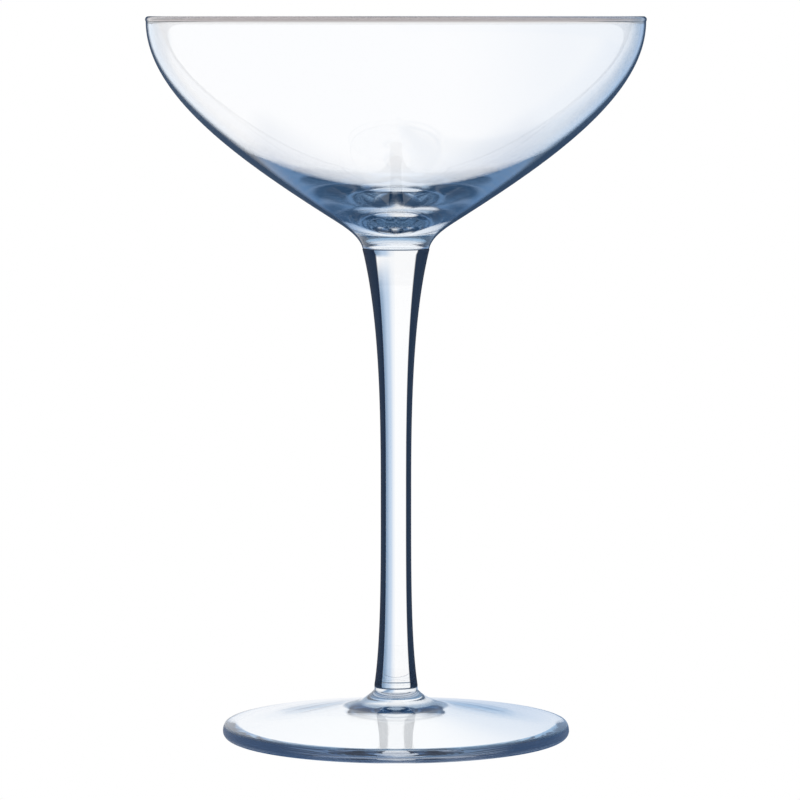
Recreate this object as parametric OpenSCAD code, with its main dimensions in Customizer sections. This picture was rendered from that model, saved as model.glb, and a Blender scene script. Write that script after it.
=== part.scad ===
// Coupe glass: a shallow wide bowl on a slim drawn stem and a round foot.
// Three pieces of clear glass, each turned about the Z axis and fused hot to
// the next one, face to face. Z = 0 is the table, millimetres.

/* [Overall] */
// Height of the whole glass, table to rim
glass_h = 152; // [130:1:220]

/* [Bowl] */
// Widest diameter of the glass, over the bead at the rim
rim_d = 104.8; // [90:0.2:130]
// Thickness of the fire-polished bead at the rim
lip_d = 1.35; // [1.2:0.05:2.4]
// Thickness of the wall just under the bead
wall = 1.1; // [0.8:0.05:1.15]
// Height of the bowl piece, from the stem joint to the rim
bowl_h = 48.6; // [42:0.2:60]
// Glass between the stem joint and the lowest point of the inside
floor_t = 5.6; // [5:0.2:8]
// Thickness of the wall low down, where the inside turns into the floor
low_wall = 2.8; // [1.8:0.1:3.6]
// How far the outside keeps upright below the bead
side_drop = 15.8; // [10:0.2:20]
// Radius where the straight flank starts, above the root
flank_r = 12.9; // [11:0.1:16]
// Height of that place above the stem joint
flank_h = 5.9; // [4.5:0.1:6]
// Rise of the flank, in degrees from level
flank_rise = 32.5; // [30:0.5:36]
// How far the flank keeps straight before it turns up
flank_reach = 21.9; // [14:0.1:24]
// How far the root follows the flank before it turns down to the stem
root_reach = 2.5; // [1.5:0.1:3]
// Place where the inside turns into the floor, as a share of the outer curve
floor_share = 0.13; // [0.08:0.01:0.2]

/* [Stem] */
// Diameter of the joint between the stem and the bowl
bowl_joint_d = 14.1; // [11:0.1:18]
// Diameter of the stem at its thinnest
waist_d = 6.44; // [5:0.02:8]
// Diameter of the joint between the foot and the stem
foot_joint_d = 9.2; // [8:0.1:11]
// Lean of the flare under the bowl, in degrees from upright
top_lean = 13.9; // [8:0.1:18]
// How far that flare keeps its lean
top_reach = 15; // [8:0.5:18]
// Lean of the swell over the foot, in degrees from upright
low_lean = 8.5; // [4:0.1:12]
// How far that swell keeps its lean
low_reach = 10; // [6:0.5:12]
// How far the stem keeps straight each way from its thinnest place
waist_reach = 16; // [8:0.5:18]
// Place of the thinnest part, as a share of the stem's length
waist_share = 0.45; // [0.35:0.01:0.55]

/* [Foot] */
// Diameter of the foot
foot_d = 73.3; // [62:0.1:90]
// Height of the foot piece, table to stem joint
foot_h = 10.7; // [9.5:0.1:14]
// Thickness of the foot at its edge
edge_t = 2.95; // [2.4:0.05:3.6]
// Height of the widest line of the edge above the table
edge_mid = 1.3; // [1:0.05:1.8]
// How far the edge rounds in at the top
edge_top_round = 0.6; // [0.3:0.05:1.2]
// How far the edge rounds in at the bottom
edge_low_round = 1.2; // [0.6:0.05:2.5]
// Width of the flat ring that the glass stands on
ring_w = 2; // [1.5:0.1:4]
// Rise of the hollow under the foot, at its middle
hollow_h = 4.2; // [3:0.1:4.6]
// How far the hollow keeps level, out from its middle
hollow_level = 8; // [4:0.5:10]
// Rise of the hollow just inside the ring, in degrees from level
hollow_rise = 7.5; // [5:0.1:10]
// How far the hollow keeps that rise, in from the ring
hollow_reach = 14; // [8:0.5:16]
// Length of the collar just under the stem joint
collar_h = 0.75; // [0.4:0.05:1]
// Radius where the flare of the foot runs out into its flat top
flare_r = 11.6; // [9:0.1:15]
// Height of that place above the table
flare_h = 6.5; // [5.6:0.1:7.2]
// How far the flare keeps its first slope, down from the collar
flare_top_reach = 2; // [1:0.05:2.4]
// How far the flare keeps the slope of the foot's top
flare_low_reach = 2.6; // [1.5:0.1:3.5]

/* [Joints] */
// Rounding of the edges at a fused joint, which leaves a hairline groove
seam_r = 0.16; // [0.1:0.02:0.3]

/* [Hidden] */

facets = 180;
curve_steps = 26;
bead_steps = 18;
blend_steps = 10;
seam_steps = 4;
thicken_power = 6;
floor_entry_share = 0.33;
floor_level_share = 0.15;

bowl_z = glass_h - bowl_h;
stem_l = bowl_z - foot_h;
waist_z = foot_h + stem_l * waist_share;

bead_r = lip_d / 2;
bead_centre = [rim_d / 2 - bead_r, glass_h - bead_r];
bead_turn = acos(wall / lip_d);
side_top = bead_centre + bead_r * [cos(bead_turn), -sin(bead_turn)];

// Outside of the bowl above its root: the two ends and their handles
side_low = [flank_r, bowl_z + flank_h];
side_low_handle = side_low + flank_reach * toward(flank_rise);
side_top_handle = side_top - [0, side_drop];

foot_r = foot_d / 2;
ring_r = foot_r - edge_low_round;
edge_top = [foot_r - edge_top_round, edge_t];
flare_end = [flare_r, flare_h];
top_slope = atan2(flare_end.y - edge_top.y, edge_top.x - flare_end.x);
flare_slope = 50;

// Unit step that rises at an angle from level
function toward(angle) = [cos(angle), sin(angle)];

// Unit step that leans out from upright
function lean(angle) = [sin(angle), cos(angle)];

// Point at t, from 0 to 1, of a smooth curve whose ends are a and d, leaving
// a towards b and reaching d from c
function curve_point(a, b, c, d, t) =
    let (u = 1 - t)
    pow(u, 3) * a + 3 * u * u * t * b + 3 * u * t * t * c + pow(t, 3) * d;

// Direction of that curve at t
function curve_way(a, b, c, d, t) =
    let (u = 1 - t, way = u * u * (b - a) + 2 * u * t * (c - b) + t * t * (d - c))
    way / norm(way);

// The same curve as a list of points
function curve(a, b, c, d, steps) = [for (i = [0:steps]) curve_point(a, b, c, d, i / steps)];

// Part of a circle, from one angle to another
function arc(centre, r, from, to, steps) = [
    for (i = [0:steps]) centre + r * toward(from + (to - from) * i / steps)
];

// A list of points without its first one
function rest(points) = [for (i = [1:len(points) - 1]) points[i]];

// Rounded lower edge of a piece that stands on a joint
function seam_above(r, z) = arc([r - seam_r, z + seam_r], seam_r, -90, 0, seam_steps);

// Rounded upper edge of a piece that carries a joint
function seam_below(r, z) = arc([r - seam_r, z - seam_r], seam_r, 0, 90, seam_steps);

// Outside of the bowl, from the stem joint up to the bead
function bowl_outside() =
    let (
        joint_r = bowl_joint_d / 2,
        start = [joint_r, bowl_z + seam_r],
        root = curve(
            start, start + root_reach * lean(top_lean),
            side_low - root_reach * toward(flank_rise), side_low, blend_steps
        ),
        side = curve(side_low, side_low_handle, side_top_handle, side_top, curve_steps)
    )
    concat(seam_above(joint_r, bowl_z), rest(root), rest(side));

// Thickness of the wall at t on the outer curve: it grows towards the floor
function wall_at(t) =
    wall + (low_wall - wall) * pow((1 - t) / (1 - floor_share), thicken_power);

// Place of the inside at t on the outer curve
function inside_point(t) =
    let (
        place = curve_point(side_low, side_low_handle, side_top_handle, side_top, t),
        way = curve_way(side_low, side_low_handle, side_top_handle, side_top, t)
    )
    place + wall_at(t) * [-way.y, way.x];

// Inside of the bowl, from the bead down to the axis
function bowl_inside() =
    let (
        side = [for (i = [0:curve_steps]) inside_point(1 - (1 - floor_share) * i / curve_steps)],
        edge = side[curve_steps],
        before = side[curve_steps - 1],
        way = (edge - before) / norm(edge - before),
        low = [0, bowl_z + floor_t],
        bottom = curve(
            edge, edge + floor_entry_share * edge.x * way,
            low + [floor_level_share * edge.x, 0], low, blend_steps
        )
    )
    concat(side, rest(bottom));

module bowl() {
    bead = arc(bead_centre, bead_r, -bead_turn, 180 + bead_turn, bead_steps);
    color("aliceblue", 0.35)
    rotate_extrude($fn = facets)
    polygon(concat([[0, bowl_z]], bowl_outside(), rest(bead), rest(bowl_inside())));
}

// Stem from the foot joint up to the bowl joint
function stem_side() =
    let (
        low_r = foot_joint_d / 2,
        top_r = bowl_joint_d / 2,
        low = [low_r, foot_h + seam_r],
        waist = [waist_d / 2, waist_z],
        top = [top_r, bowl_z - seam_r],
        swell = curve(
            low, low + low_reach * lean(-low_lean),
            waist - [0, waist_reach], waist, curve_steps
        ),
        flare = curve(
            waist, waist + [0, waist_reach],
            top - top_reach * lean(top_lean), top, curve_steps
        )
    )
    concat(seam_above(low_r, foot_h), rest(swell), rest(flare), rest(seam_below(top_r, bowl_z)));

module stem() {
    color("lavender", 0.35)
    rotate_extrude($fn = facets)
    polygon(concat([[0, foot_h]], stem_side(), [[0, bowl_z]]));
}

// Hollow underside, from the axis out to the ring that stands on the table
function foot_underside() =
    let (
        middle = [0, hollow_h],
        ring_start = [ring_r - ring_w, 0]
    )
    curve(
        middle, middle + [hollow_level, 0],
        ring_start - hollow_reach * toward(-hollow_rise), ring_start, curve_steps
    );

// Rounded edge, from the table round to the top
function foot_edge() =
    let (
        widest = [foot_r, edge_mid],
        low = curve(
            [ring_r, 0], [foot_r - edge_low_round / 2, 0],
            [foot_r, edge_mid / 2], widest, blend_steps
        ),
        top = curve(
            widest, [foot_r, (edge_mid + edge_t) / 2],
            edge_top + edge_top_round / 2 * toward(-top_slope), edge_top, blend_steps
        )
    )
    concat(low, rest(top));

// Top of the foot, from its edge up the flare to the stem joint
function foot_top() =
    let (
        joint_r = foot_joint_d / 2,
        collar = [joint_r, foot_h - collar_h],
        flare = curve(
            flare_end, flare_end - flare_low_reach * [cos(top_slope), -sin(top_slope)],
            collar + flare_top_reach * toward(-flare_slope), collar, blend_steps
        )
    )
    concat(flare, seam_below(joint_r, foot_h));

module foot() {
    color("lightsteelblue", 0.35)
    rotate_extrude($fn = facets)
    polygon(concat(foot_underside(), foot_edge(), foot_top(), [[0, foot_h]]));
}

bowl();
stem();
foot();
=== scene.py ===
import math

import bmesh
import bpy
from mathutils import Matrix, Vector


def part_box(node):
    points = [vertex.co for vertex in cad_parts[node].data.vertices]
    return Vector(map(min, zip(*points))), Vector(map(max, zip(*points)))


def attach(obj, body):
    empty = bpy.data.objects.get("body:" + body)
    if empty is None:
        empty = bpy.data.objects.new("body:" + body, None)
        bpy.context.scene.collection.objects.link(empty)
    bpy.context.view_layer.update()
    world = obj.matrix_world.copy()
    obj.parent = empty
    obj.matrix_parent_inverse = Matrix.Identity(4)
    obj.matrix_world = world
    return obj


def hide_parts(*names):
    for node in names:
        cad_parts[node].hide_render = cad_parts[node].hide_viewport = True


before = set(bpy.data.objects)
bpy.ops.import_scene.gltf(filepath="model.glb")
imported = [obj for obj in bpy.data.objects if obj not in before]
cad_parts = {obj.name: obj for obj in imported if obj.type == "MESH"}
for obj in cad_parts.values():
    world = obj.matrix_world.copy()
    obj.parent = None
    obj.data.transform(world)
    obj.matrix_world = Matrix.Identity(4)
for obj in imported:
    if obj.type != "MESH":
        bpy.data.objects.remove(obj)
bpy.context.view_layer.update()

scene = bpy.context.scene
mm = 0.001
print("frame with", ", ".join(sorted(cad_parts)))

# Every piece is turned about Z, so the boxes of the plain solids give its radii and heights
bowlLow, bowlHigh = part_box("bowl")
stemLow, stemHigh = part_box("stem")
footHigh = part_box("foot")[1]


turning = {
    "quarterSteps": 72,      # faces in a quarter turn
    "seamRound": 0.16 * mm,  # rounded edges at a fused joint
    "seamSteps": 6,
    "weld": 1e-7,            # points closer than this are one
    "flatAngle": 38,         # edges sharper than this stay sharp
    "outerLean": 0.2,        # how far a surface leans out before it counts as the outside
}


# Profiles are points (radius, height), joined from arcs and smooth curves

def toward(angle):  # unit step that rises at an angle from level
    return Vector((math.cos(math.radians(angle)), math.sin(math.radians(angle))))


def lean(angle):  # unit step that leans out from upright
    return Vector((math.sin(math.radians(angle)), math.cos(math.radians(angle))))


def curvePoint(ends, t):  # from the first of four points to the last, led by the two between
    a, b, c, d = ends
    u = 1 - t
    return u**3 * a + 3 * u * u * t * b + 3 * u * t * t * c + t**3 * d


def curveWay(ends, t):  # direction of that curve
    a, b, c, d = ends
    u = 1 - t
    return (u * u * (b - a) + 2 * u * t * (c - b) + t * t * (d - c)).normalized()


def curve(ends, steps):
    return [curvePoint(ends, i / steps) for i in range(steps + 1)]


def straight(start, stop, steps):
    return [start.lerp(stop, i / steps) for i in range(steps + 1)]


def arc(centre, radius, start, stop, steps):
    return [centre + radius * toward(start + (stop - start) * i / steps) for i in range(steps + 1)]


def seamAbove(radius, height):  # lower edge of a piece that stands on a joint
    r = turning["seamRound"]
    return arc(Vector((radius - r, height + r)), r, -90, 0, turning["seamSteps"])


def seamBelow(radius, height):  # upper edge of a piece that carries a joint
    r = turning["seamRound"]
    return arc(Vector((radius - r, height - r)), r, 0, 90, turning["seamSteps"])


def markOuter(mesh):  # an attribute for the materials: 1 on the outside of a piece, 0 on its inside
    outer = mesh.attributes.new("outer", "FLOAT", "POINT")
    for mark, vertex in zip(outer.data, mesh.vertices):
        out = vertex.normal.xy.dot(vertex.co.xy.normalized())
        mark.value = min(max(out / turning["outerLean"], 0), 1)


def turned(name, profile):  # a quarter is spun, and mirrored twice
    bm = bmesh.new()
    places = [p for i, p in enumerate(profile) if i == 0 or (p - profile[i - 1]).length > turning["weld"]]
    verts = [bm.verts.new((p.x, 0, p.y)) for p in places]
    edges = [bm.edges.new(pair) for pair in zip(verts, verts[1:])]
    bmesh.ops.spin(bm, geom=verts + edges, axis=(0, 0, 1), cent=(0, 0, 0),
                   steps=turning["quarterSteps"], angle=math.pi / 2, use_merge=False)
    for side in "XY":
        bmesh.ops.mirror(bm, geom=bm.verts[:] + bm.edges[:] + bm.faces[:],
                         merge_dist=turning["weld"], axis=side)
    bmesh.ops.remove_doubles(bm, verts=bm.verts, dist=turning["weld"])
    bmesh.ops.recalc_face_normals(bm, faces=bm.faces)
    for face in bm.faces:
        face.smooth = True
    for edge in bm.edges:
        edge.smooth = edge.calc_face_angle(0) < math.radians(turning["flatAngle"])
    mesh = bpy.data.meshes.new(name)
    bm.to_mesh(mesh)
    bm.free()
    markOuter(mesh)
    piece = bpy.data.objects.new(name, mesh)
    scene.collection.objects.link(piece)
    print("turned", name, "with", len(mesh.polygons), "faces")
    return piece


# Shader sums: a Wire is one output of a node, and working with wires adds Math nodes

class Wire:
    def __init__(self, sheet, socket):
        self.sheet = sheet
        self.socket = socket

    def output(self, name):  # another output of the same node
        return Wire(self.sheet, self.socket.node.outputs[name])

    def __add__(self, other):
        return self.sheet.maths("ADD", self, other)

    def __radd__(self, other):
        return self.sheet.maths("ADD", other, self)

    def __sub__(self, other):
        return self.sheet.maths("SUBTRACT", self, other)

    def __rsub__(self, other):
        return self.sheet.maths("SUBTRACT", other, self)

    def __mul__(self, other):
        return self.sheet.maths("MULTIPLY", self, other)

    def __rmul__(self, other):
        return self.sheet.maths("MULTIPLY", other, self)

    def __pow__(self, other):
        return self.sheet.maths("POWER", self, other)

    def __neg__(self):
        return self.sheet.maths("MULTIPLY", self, -1)

    def __abs__(self):
        return self.sheet.maths("ABSOLUTE", self)

    def rise(self, start, stop):  # 0 at start and 1 at stop, smooth between
        return self.sheet.node("ShaderNodeMapRange", {"interpolation_type": "SMOOTHSTEP"},
                               {"Value": self, "From Min": start, "From Max": stop})


class Sheet:  # the nodes of a material or of the world
    def __init__(self, owner):
        owner.use_nodes = True
        self.nodes = owner.node_tree.nodes
        self.links = owner.node_tree.links
        self.nodes.clear()

    def node(self, kind, settings=(), values=(), output=0):
        made = self.nodes.new(kind)
        for name, value in dict(settings).items():
            setattr(made, name, value)
        for name, value in dict(values).items():
            if isinstance(value, Wire):
                self.links.new(value.socket, made.inputs[name])
            else:
                made.inputs[name].default_value = value
        return Wire(self, made.outputs[output]) if made.outputs else made

    def maths(self, operation, *values):
        return self.node("ShaderNodeMath", {"operation": operation}, dict(enumerate(values)))

    def mix(self, share, a, b, blend="MIX"):  # colours: a at share 0, b at share 1
        settings = {"data_type": "RGBA", "blend_type": blend}
        return self.node("ShaderNodeMix", settings, {0: share, 6: a, 7: b}, 2)  # its colour sockets

    def split(self, vector):  # its X, whose other outputs are Y and Z
        return self.node("ShaderNodeSeparateXYZ", {}, {0: vector}, "X")


# Glass that all three pieces share

glass = {
    "clear": (0.985, 0.99, 1, 1),
    "ior": 1.52,
    "seamShadeColour": (0.05, 0.09, 0.16, 1),  # painted shade in the hairline groove round a joint
    "seamNear": 0.106 * mm,               # above and below the joint
    "seamFar": 0.176 * mm,
    "fusedBand": 0.004 * mm,              # the joint faces themselves are see-through
    "waveScale": 70,                      # slow unevenness of fire-polished glass
    "waveDetail": 1,
    "waveDepth": 0.012 * mm,
    "ringScale": 160,                     # fine rings round the axis
    "ringDepth": 0.002 * mm,
    "facingBlend": 0.5,                   # facing is then 0 square on and 1 along the surface
}


class GlassShading:  # places and masks that a piece's look is made from, its painted shade included
    def __init__(self, material):
        self.sheet = Sheet(material)
        self.place = self.sheet.node("ShaderNodeTexCoord", output="Object")
        across = self.sheet.split(self.place)
        depth = across.output("Y")
        self.height = across.output("Z")
        self.radius = (across * across + depth * depth) ** 0.5
        self.outer = self.sheet.node("ShaderNodeAttribute", {"attribute_name": "outer"}, output="Fac")
        self.front = 1 - self.sheet.node("ShaderNodeNewGeometry", output="Backfacing")
        self.facing = self.sheet.node("ShaderNodeLayerWeight", {}, {"Blend": glass["facingBlend"]}, "Facing")

    def noise(self, place, scale, detail=0):
        return self.sheet.node("ShaderNodeTexNoise", {}, {"Vector": place, "Scale": scale, "Detail": detail})

    def waves(self):  # heights are real ones, so the bump's own strength and distance are 1
        turnedPlace = self.sheet.node("ShaderNodeCombineXYZ", {}, {"X": self.radius, "Z": self.height})
        slow = self.noise(self.place, glass["waveScale"], glass["waveDetail"]) * glass["waveDepth"]
        rings = self.noise(turnedPlace, glass["ringScale"]) * glass["ringDepth"]
        return self.sheet.node("ShaderNodeBump", {}, {"Strength": 1, "Distance": 1, "Height": slow + rings})

    def seam(self, joint):  # 1 in the groove round a joint, where shade is painted
        return 1 - abs(self.height - joint).rise(glass["seamNear"], glass["seamFar"])

    def fused(self, joint):  # 1 on the face where two pieces are fused
        return self.sheet.maths("COMPARE", self.height, joint, glass["fusedBand"])

    def anyOf(self, masks):  # 1 where one of the masks is
        left = 1
        for mask in masks:
            left = left * (1 - mask)
        return 1 - left


def glassMaterial(name, look, joints):
    material = bpy.data.materials.new(name)
    shading = GlassShading(material)
    sheet = shading.sheet
    colour, line, outlineShadeColour, rough = look(shading)
    # painted shade in the grooves round the joints
    colour = sheet.mix(shading.anyOf([shading.seam(joint) for joint in joints]), colour, glass["seamShadeColour"])
    body = sheet.node("ShaderNodeBsdfPrincipled", {}, {
        "Base Color": colour, "Roughness": rough, "IOR": glass["ior"], "Transmission Weight": 1,
        "Normal": shading.waves()})
    # A dark outline is painted where the glass is seen along its surface, as painted shade for the dark room
    # seen there. The line holds only where light enters, as on the way out it would stop the rays that run
    # inside
    dark = sheet.node("ShaderNodeBsdfDiffuse", {}, {"Color": outlineShadeColour})
    lined = sheet.node("ShaderNodeMixShader", {}, {0: line * shading.front, 1: body, 2: dark})
    gone = sheet.node("ShaderNodeBsdfTransparent")
    fused = shading.anyOf([shading.fused(joint) for joint in joints])
    surface = sheet.node("ShaderNodeMixShader", {}, {0: fused, 1: lined, 2: gone})
    sheet.node("ShaderNodeOutputMaterial", {}, {"Surface": surface})
    return material


# Bowl: a thin wall with a bead at the rim, thicker towards a solid root. A reach is how far a curve
# keeps the direction of its end.

bowl = {
    "lip": 1.35 * mm,                      # thickness of the bead
    "wall": 1.1 * mm,                      # under the bead
    "lowWall": 2.8 * mm,                   # where the inside turns into the floor
    "floor": 5.6 * mm,                     # from the stem joint to the lowest point of the inside
    "sideDrop": 15.8 * mm,                 # how far the outside keeps upright below the bead
    "flankRadius": 12.9 * mm,              # where the straight flank starts
    "flankHeight": 5.9 * mm,               # above the stem joint
    "flankRise": 32.5,                     # degrees from level
    "flankReach": 21.9 * mm,
    "rootReach": 2.5 * mm,
    "topLean": 13.9,                       # of root and stem at their joint, degrees from upright
    "floorShare": 0.13,                    # of the side, below which the inside is the floor
    "thickenPower": 6,                     # the higher, the further down the wall keeps thin
    "floorEntryShare": 0.33,               # reaches of the floor, of the radius where it starts
    "floorLevelShare": 0.15,
    "rootSteps": 20,
    "sideSteps": 90,
    "beadSteps": 24,
    "floorSteps": 30,
    "rimShadeColour": (0.2, 0.17, 0.17, 1),     # painted warm grey shade along the bead, seen edge on
    "rimStart": 1.625 * mm,                # below the top of the glass
    "rimEnd": 0.875 * mm,
    "lowShadeColour": (0.88, 0.935, 1, 1),      # painted blue shade low down, where the glass is thick
    "lowStart": 4 * mm,                    # above the stem joint
    "lowEnd": 14 * mm,
    "edgeShadeColour": (0.45, 0.66, 0.93, 1),   # painted blue shade that deepens towards the outline
    "edgeStart": 0.65,                     # 0 is seen square on, 1 along the surface
    "edgeEnd": 0.85,
    "edgeShare": 0.9,
    "outlineShadeColour": (0.03, 0.06, 0.115, 1),  # painted dark outline, shade where the glass is seen edge on
    "lineLow": 0.73,                       # where it starts low down
    "lineHigh": 0.83,                      # and at the rim
    "lineSoft": 0.08,
    "lineShare": 0.96,
    "lineRise": 20 * mm,                   # above the stem joint
    "rough": 0.08,                         # the root never gets quite smooth
    "roughStart": 7 * mm,                  # above the stem joint
    "roughEnd": 13 * mm,
}


def bowlProfile():
    joint = stemHigh.x
    bead = bowl["lip"] / 2
    centre = Vector((bowlHigh.x - bead, bowlHigh.z - bead))
    turn = math.degrees(math.acos(bowl["wall"] / bowl["lip"]))
    sideTop = centre + bead * toward(-turn)
    flank = Vector((bowl["flankRadius"], bowlLow.z + bowl["flankHeight"]))
    side = (flank, flank + bowl["flankReach"] * toward(bowl["flankRise"]),
            sideTop - Vector((0, bowl["sideDrop"])), sideTop)
    start = Vector((joint, bowlLow.z + turning["seamRound"]))
    root = (start, start + bowl["rootReach"] * lean(bowl["topLean"]),
            flank - bowl["rootReach"] * toward(bowl["flankRise"]), flank)

    def inside(t):  # the wall thickens towards the floor
        way = curveWay(side, t)
        share = ((1 - t) / (1 - bowl["floorShare"])) ** bowl["thickenPower"]
        wall = bowl["wall"] + (bowl["lowWall"] - bowl["wall"]) * share
        return curvePoint(side, t) + wall * Vector((-way.y, way.x))

    steps = bowl["sideSteps"]
    inner = [inside(1 - (1 - bowl["floorShare"]) * i / steps) for i in range(steps + 1)]
    edge = inner[-1]
    way = (edge - inner[-2]).normalized()
    low = Vector((0, bowlLow.z + bowl["floor"]))
    bottom = (edge, edge + bowl["floorEntryShare"] * edge.x * way,
              low + Vector((bowl["floorLevelShare"] * edge.x, 0)), low)
    return ([Vector((0, bowlLow.z))] + seamAbove(joint, bowlLow.z) + curve(root, bowl["rootSteps"])
            + curve(side, steps) + arc(centre, bead, -turn, 180 + turn, bowl["beadSteps"]) + inner
            + curve(bottom, bowl["floorSteps"]))


def bowlGlass(shading):
    mix = shading.sheet.mix
    # painted blue shade low down on the bowl
    low = 1 - shading.height.rise(bowlLow.z + bowl["lowStart"], bowlLow.z + bowl["lowEnd"])
    # painted warm grey shade along the bead, on the faces turned to the viewer
    rim = shading.height.rise(bowlHigh.z - bowl["rimStart"], bowlHigh.z - bowl["rimEnd"]) * shading.front
    # painted blue shade towards the outline
    edge = shading.facing.rise(bowl["edgeStart"], bowl["edgeEnd"]) * shading.outer * (1 - rim)
    colour = mix(low, glass["clear"], bowl["lowShadeColour"])
    colour = mix(rim, colour, bowl["rimShadeColour"])
    colour = mix(edge * bowl["edgeShare"], colour, bowl["edgeShadeColour"])
    # painted dark outline, starting further out at the rim
    up = shading.height.rise(bowlLow.z + bowl["lineRise"], bowlHigh.z)
    start = bowl["lineLow"] + up * (bowl["lineHigh"] - bowl["lineLow"])
    line = (shading.facing - start).rise(0, bowl["lineSoft"]) * bowl["lineShare"] * shading.outer
    rough = 1 - shading.height.rise(bowlLow.z + bowl["roughStart"], bowlLow.z + bowl["roughEnd"])
    return colour, line, bowl["outlineShadeColour"], rough * bowl["rough"]


# Stem: drawn thin from the root of the bowl, with a swell over the foot

stem = {
    "waist": 3.22 * mm,                      # radius at its thinnest
    "waistShare": 0.45,                      # height of that place, of the stem's length
    "waistReach": 16 * mm,
    "lowJointRadius": 4.6 * mm,              # at the foot
    "lowLean": 8.5,                          # of the swell over the foot, degrees from upright
    "lowReach": 10 * mm,
    "topReach": 15 * mm,
    "swellSteps": 40,
    "flareSteps": 50,
    "edgeShadeColour": (0.006, 0.02, 0.05, 1),    # painted shade: both sides of the stem are dark, its middle bright
    "edgeStart": 0.23,
    "edgeEnd": 0.27,
    "outlineShadeColour": (0.008, 0.018, 0.045, 1),
    "lineShare": 0.88,
}


def stemProfile():
    top = Vector((stemHigh.x, stemHigh.z - turning["seamRound"]))
    low = Vector((stem["lowJointRadius"], stemLow.z + turning["seamRound"]))
    waist = Vector((stem["waist"], stemLow.z + (stemHigh.z - stemLow.z) * stem["waistShare"]))
    upright = Vector((0, stem["waistReach"]))
    swell = (low, low + stem["lowReach"] * lean(-stem["lowLean"]), waist - upright, waist)
    flare = (waist, waist + upright, top - stem["topReach"] * lean(bowl["topLean"]), top)
    return ([Vector((0, stemLow.z))] + seamAbove(low.x, stemLow.z) + curve(swell, stem["swellSteps"])
            + curve(flare, stem["flareSteps"]) + seamBelow(top.x, stemHigh.z) + [Vector((0, stemHigh.z))])


def stemGlass(shading):
    # painted shade on both sides of the stem, with a painted dark outline there
    edge = shading.facing.rise(stem["edgeStart"], stem["edgeEnd"])
    colour = shading.sheet.mix(edge, glass["clear"], stem["edgeShadeColour"])
    return colour, edge * stem["lineShare"], stem["outlineShadeColour"], 0


# Foot: a round plate, hollow beneath, that flares up into a collar

foot = {
    "edge": 2.95 * mm,                    # height of the edge's top above the table
    "edgeMiddle": 1.3 * mm,               # height of its widest line
    "edgeTopRound": 0.6 * mm,
    "edgeLowRound": 1.2 * mm,
    "standWidth": 2 * mm,                 # of the flat ring that it stands on
    "hollow": 4.2 * mm,                   # height of the hollow in the middle
    "hollowLevel": 8 * mm,                # how far out it keeps level
    "hollowRise": 7.5,                    # inside the flat ring, degrees from level
    "hollowReach": 14 * mm,
    "collar": 0.75 * mm,
    "flareRadius": 11.6 * mm,             # where the flare runs out into the flat top
    "flareHeight": 6.5 * mm,
    "flareTopReach": 2 * mm,
    "flareLowReach": 2.6 * mm,
    "flareSlope": 50,                     # under the collar, degrees from level
    "underSteps": 50,
    "edgeSteps": 16,
    "topSteps": 24,
    "flareSteps": 30,
    "clear": (0.95, 0.975, 1, 1),
    "sideShadeColour": (0.04, 0.11, 0.24, 1),  # painted deep blue shade on the edge of the plate
    "sideIn": 0.7 * mm,                   # in from the edge
    "sideOut": 0.35 * mm,
    "sideTop": 2.36 * mm,                 # above the table
    "sideGone": 2.95 * mm,
    "sideShare": 0.7,
    "outlineShadeColour": (0.04, 0.08, 0.17, 1),
    "lineStart": 0.06,                    # painted dark line, darker as the edge turns away to the sides
    "lineEnd": 0.3,
    "lineShare": 0.75,
    "ringShadeColour": (0.35, 0.55, 0.8, 1),   # painted dark ring of shade where the flare runs out
    "ringStart": 7 * mm,                  # radii
    "ringFull": 8.5 * mm,
    "ringFade": 10.5 * mm,
    "ringStop": 11.6 * mm,
    "ringLow": 4.7 * mm,                  # heights, so that it is on the top side only
    "ringHigh": 5.2 * mm,
    "ringFacing": 0.35,                   # it shows only along the surface, as on real glass
    "ringAlong": 0.5,
    "ringShare": 0.4,
}


def footProfile():
    radius = footHigh.x
    ring = radius - foot["edgeLowRound"]
    edgeTop = Vector((radius - foot["edgeTopRound"], foot["edge"]))
    flareEnd = Vector((foot["flareRadius"], foot["flareHeight"]))
    slope = math.degrees(math.atan2(flareEnd.y - edgeTop.y, edgeTop.x - flareEnd.x))
    widest = Vector((radius, foot["edgeMiddle"]))
    collar = Vector((stem["lowJointRadius"], footHigh.z - foot["collar"]))
    middle = Vector((0, foot["hollow"]))
    stand = Vector((ring - foot["standWidth"], 0))
    under = (middle, middle + Vector((foot["hollowLevel"], 0)),
             stand - foot["hollowReach"] * toward(-foot["hollowRise"]), stand)
    lowEdge = (Vector((ring, 0)), Vector((radius - foot["edgeLowRound"] / 2, 0)),
               Vector((radius, foot["edgeMiddle"] / 2)), widest)
    topEdge = (widest, Vector((radius, (foot["edgeMiddle"] + foot["edge"]) / 2)),
               edgeTop + foot["edgeTopRound"] / 2 * toward(-slope), edgeTop)
    flare = (flareEnd, flareEnd - foot["flareLowReach"] * toward(-slope),
             collar + foot["flareTopReach"] * toward(-foot["flareSlope"]), collar)
    return (curve(under, foot["underSteps"]) + curve(lowEdge, foot["edgeSteps"])
            + curve(topEdge, foot["edgeSteps"]) + straight(edgeTop, flareEnd, foot["topSteps"])
            + curve(flare, foot["flareSteps"]) + seamBelow(collar.x, footHigh.z)
            + [Vector((0, footHigh.z))])


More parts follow.
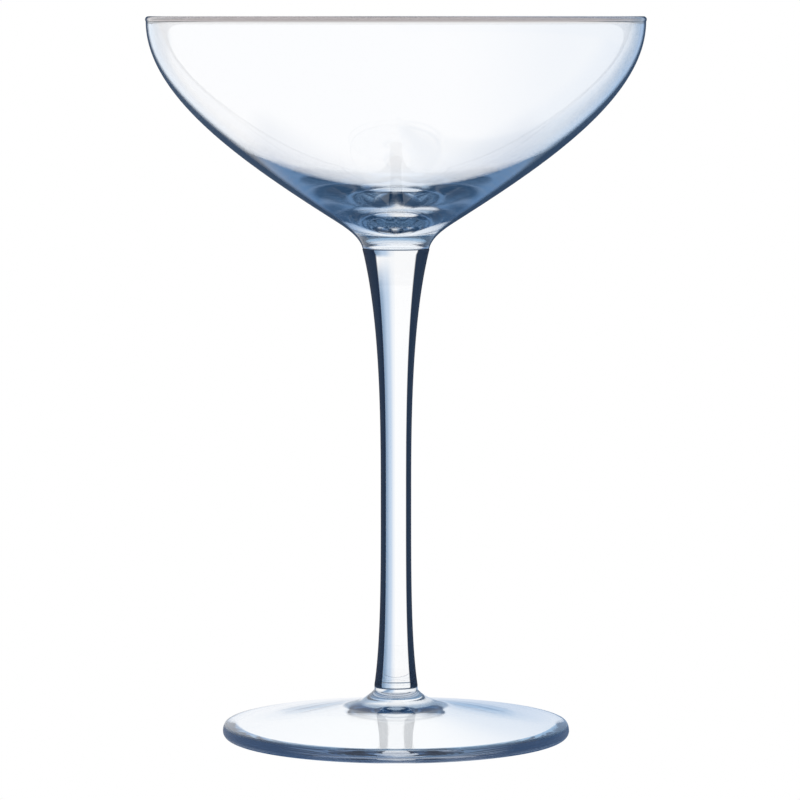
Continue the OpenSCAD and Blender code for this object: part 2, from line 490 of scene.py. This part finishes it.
def footGlass(shading):
    mix = shading.sheet.mix
    # painted deep blue shade on the edge of the plate
    side = (shading.radius.rise(footHigh.x - foot["sideIn"], footHigh.x - foot["sideOut"])
            * (1 - shading.height.rise(foot["sideTop"], foot["sideGone"])))
    # painted dark ring of shade where the flare runs out
    ring = (shading.radius.rise(foot["ringStart"], foot["ringFull"])
            * (1 - shading.radius.rise(foot["ringFade"], foot["ringStop"]))
            * shading.height.rise(foot["ringLow"], foot["ringHigh"])
            * shading.facing.rise(foot["ringFacing"], foot["ringAlong"]))
    colour = mix(side * foot["sideShare"], foot["clear"], foot["sideShadeColour"])
    colour = mix(ring, colour, foot["ringShadeColour"])
    # painted dark line on the plate's edge, with the painted ring of shade added to it
    line = shading.facing.rise(foot["lineStart"], foot["lineEnd"]) * side * foot["lineShare"]
    return colour, line + ring * foot["ringShare"], foot["outlineShadeColour"], 0


pieces = (
    ("bowl", bowlProfile, bowlGlass, [bowlLow.z]),
    ("stem", stemProfile, stemGlass, [stemLow.z, stemHigh.z]),
    ("foot", footProfile, footGlass, [footHigh.z]),
)
for node, profile, look, joints in pieces:
    piece = turned(node + "Glass", profile())
    piece.data.materials.append(glassMaterial(node + "GlassShading", look, joints))
    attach(piece, "root")
    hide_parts(node)
    print("finished", piece.name)


view = {
    "place": (0.85 * mm, -950 * mm, 151.9 * mm),  # level with the rim
    "lookDown": 4.84,                             # degrees
    "lens": 203.7,
    "sensor": 36,
}
camera = bpy.data.objects.new("camera", bpy.data.cameras.new("camera"))
scene.collection.objects.link(camera)
camera.location = view["place"]
camera.rotation_euler = (math.radians(90 - view["lookDown"]), 0, 0)
camera.data.lens = view["lens"]
camera.data.sensor_width = view["sensor"]
scene.camera = camera
print("camera in front")


# Studio: a white screen behind the glass, blue to its right, in a dark blue room. Angles are in
# degrees: turn to the right of straight back, and up from level. The same studio serves every
# view, and what a ray sees of it depends on how it came: light that bounced about inside the
# glass sees the dark room past the screen, and light mirrored off the outside sees soft colours.

studio = {
    "white": (1, 1, 1, 1),
    "skyNear": (0.5, 0.63, 0.8, 1),       # the screen's blue, near and far to the right
    "skyFar": (0.2, 0.32, 0.48, 1),
    "hazeStart": 0.6,                     # a breath of it begins just right of the middle
    "hazeEnd": 3.4,
    "hazeShare": 0.2,
    "skyStart": 3.5,                      # turns
    "skyMiddle": 15,
    "skyEnd": 28,
    "skyBack": 30,                        # where the screen goes back to white
    "skyGone": 42,
    "skyHigh": 5,                         # the blue lies low, up to here
    "skyTop": 13,
    "navy": (0.012, 0.035, 0.075, 1),     # the dark room
    "steel": (0.13, 0.24, 0.41, 1),       # its side walls
    "sideStart": 55,
    "sideEnd": 70,
    "sideStop": 95,
    "sideGone": 115,
    "screenIn": 24,                       # half width of the screen in the dark room
    "screenOut": 32,
    "screenTop": 58,
    "screenGone": 66,
    "deep": (0.3, 0.48, 0.68, 1),         # colour of light after many bounces
    "deepStart": 2,
    "deepEnd": 8,
    "trapStart": 1.2,                     # bounces from which light counts as caught
    "trapEnd": 1.8,
    "clearStart": 2.2,                    # crossings from which a share of it is let off
    "clearEnd": 2.8,
    "clearShare": 0.1,
    "mirrorSky": (0.5, 0.66, 0.86, 1),    # mirrored rays to the right
    "mirrorStart": 0.02,                  # how far right they go, of 1
    "mirrorEnd": 0.2,
    "mirrorNear": 0.25,                   # how far back they go, of 1
    "mirrorFar": 0.5,
    "levelBlue": (0.7, 0.8, 0.92, 1),     # mirrored rays near level, on the right
    "levelLow": -14,                      # degrees up
    "levelFull": -10,
    "levelHigh": 4,
    "rightStart": -0.02,                  # where the right side begins, of 1
    "rightEnd": 0.05,
    "steepBlue": (0.08, 0.2, 0.42, 1),    # mirrored rays that go down
    "steepFall": 0.8,
    "steepSoft": 0.15,
    "aheadLeft": (0.92, 0.935, 0.965, 1), # mirrored rays that barely turn
    "aheadRight": (0.45, 0.58, 0.78, 1),
    "aheadStart": 0.9,
    "aheadEnd": 0.95,
}


def degrees(angle):
    return angle * (180 / math.pi)


def screenColour(sheet, turn, up):
    here = ((1 - turn.rise(studio["skyBack"], studio["skyGone"]))
            * (1 - up.rise(studio["skyHigh"], studio["skyTop"])))
    haze = turn.rise(studio["hazeStart"], studio["hazeEnd"]) * here * studio["hazeShare"]
    near = turn.rise(studio["skyStart"], studio["skyMiddle"]) * here
    far = turn.rise(studio["skyMiddle"], studio["skyEnd"]) * here
    paint = sheet.mix(haze, studio["white"], studio["skyNear"])
    return sheet.mix(far, sheet.mix(near, paint, studio["skyNear"]), studio["skyFar"])


def darkRoom(sheet, turn, up, screen, bounces, inside):
    aside = abs(turn)
    side = (aside.rise(studio["sideStart"], studio["sideEnd"])
            * (1 - aside.rise(studio["sideStop"], studio["sideGone"])) * inside)
    walls = sheet.mix(side, studio["navy"], studio["steel"])
    lit = ((1 - aside.rise(studio["screenIn"], studio["screenOut"]))
           * (1 - up.rise(studio["screenTop"], studio["screenGone"])))
    deep = sheet.mix(bounces.rise(studio["deepStart"], studio["deepEnd"]), studio["white"], studio["deep"])
    return sheet.mix(lit, walls, sheet.mix(1, screen, deep, "MULTIPLY"))


def mirrored(sheet, way, up):
    depth = way.output("Y")
    beyond = depth.rise(studio["mirrorNear"], studio["mirrorFar"])
    ahead = depth.rise(studio["aheadStart"], studio["aheadEnd"])
    right = way.rise(studio["rightStart"], studio["rightEnd"])
    sideways = way.rise(studio["mirrorStart"], studio["mirrorEnd"]) * beyond
    level = (up.rise(studio["levelLow"], studio["levelFull"])
             * (1 - up.rise(0, studio["levelHigh"])) * right)
    steep = (-way.output("Z") * studio["steepFall"] - abs(way)).rise(0, studio["steepSoft"]) * beyond
    colour = sheet.mix(sideways, studio["white"], studio["mirrorSky"])
    colour = sheet.mix(level, colour, studio["levelBlue"])
    colour = sheet.mix(steep, colour, studio["steepBlue"])
    return sheet.mix(ahead, colour, sheet.mix(right, studio["aheadLeft"], studio["aheadRight"]))


def studioLight(sheet):
    way = sheet.split(sheet.node("ShaderNodeTexCoord", output="Generated"))
    turn = degrees(sheet.maths("ARCTAN2", way, way.output("Y")))
    up = degrees(sheet.maths("ARCSINE", way.output("Z")))
    bounces = sheet.node("ShaderNodeLightPath", output="Glossy Depth")
    crossings = bounces.output("Transmission Depth")
    inside = crossings.rise(0, 1)
    letOff = crossings.rise(studio["clearStart"], studio["clearEnd"]) * studio["clearShare"]
    caught = bounces.rise(studio["trapStart"], studio["trapEnd"]) * (1 - letOff)
    screen = screenColour(sheet, turn, up)
    seen = sheet.mix(bounces.rise(0, 1) * (1 - inside), screen, mirrored(sheet, way, up))
    seen = sheet.mix(bounces.output("Is Camera Ray"), seen, studio["white"])
    return sheet.mix(caught, seen, darkRoom(sheet, turn, up, screen, bounces, inside))


world = bpy.data.worlds.new("studio")
scene.world = world
sheet = Sheet(world)
light = sheet.node("ShaderNodeBackground", {}, {"Color": studioLight(sheet)})
sheet.node("ShaderNodeOutputWorld", {}, {"Surface": light})
print("studio lit")


# Floor: plain white to the camera, and no more than that, so that it adds no light to the glass

ground = {
    "half": 6,           # metres, half its width
    "below": 0.02 * mm,  # a hair under the foot, so that they don't flicker
    "paint": (1, 1, 1, 1),
}
bm = bmesh.new()
bmesh.ops.create_grid(bm, x_segments=1, y_segments=1, size=ground["half"])
floorMesh = bpy.data.meshes.new("floor")
bm.to_mesh(floorMesh)
bm.free()
floor = bpy.data.objects.new("floor", floorMesh)
floor.location.z = -ground["below"]
scene.collection.objects.link(floor)
for ray in ("diffuse", "glossy", "transmission", "volume_scatter", "shadow"):
    setattr(floor, "visible_" + ray, False)
floorPaint = bpy.data.materials.new("floorPaint")
sheet = Sheet(floorPaint)
glow = sheet.node("ShaderNodeEmission", {}, {"Color": ground["paint"]})
sheet.node("ShaderNodeOutputMaterial", {}, {"Surface": glow})
floorMesh.materials.append(floorPaint)
print("floor laid")

scene.view_settings.view_transform = "Standard"
bounceLimit = 64  # light turns many times inside thick glass
scene.cycles.max_bounces = bounceLimit
scene.cycles.glossy_bounces = bounceLimit
scene.cycles.transmission_bounces = bounceLimit
scene.cycles.transparent_max_bounces = bounceLimit // 2
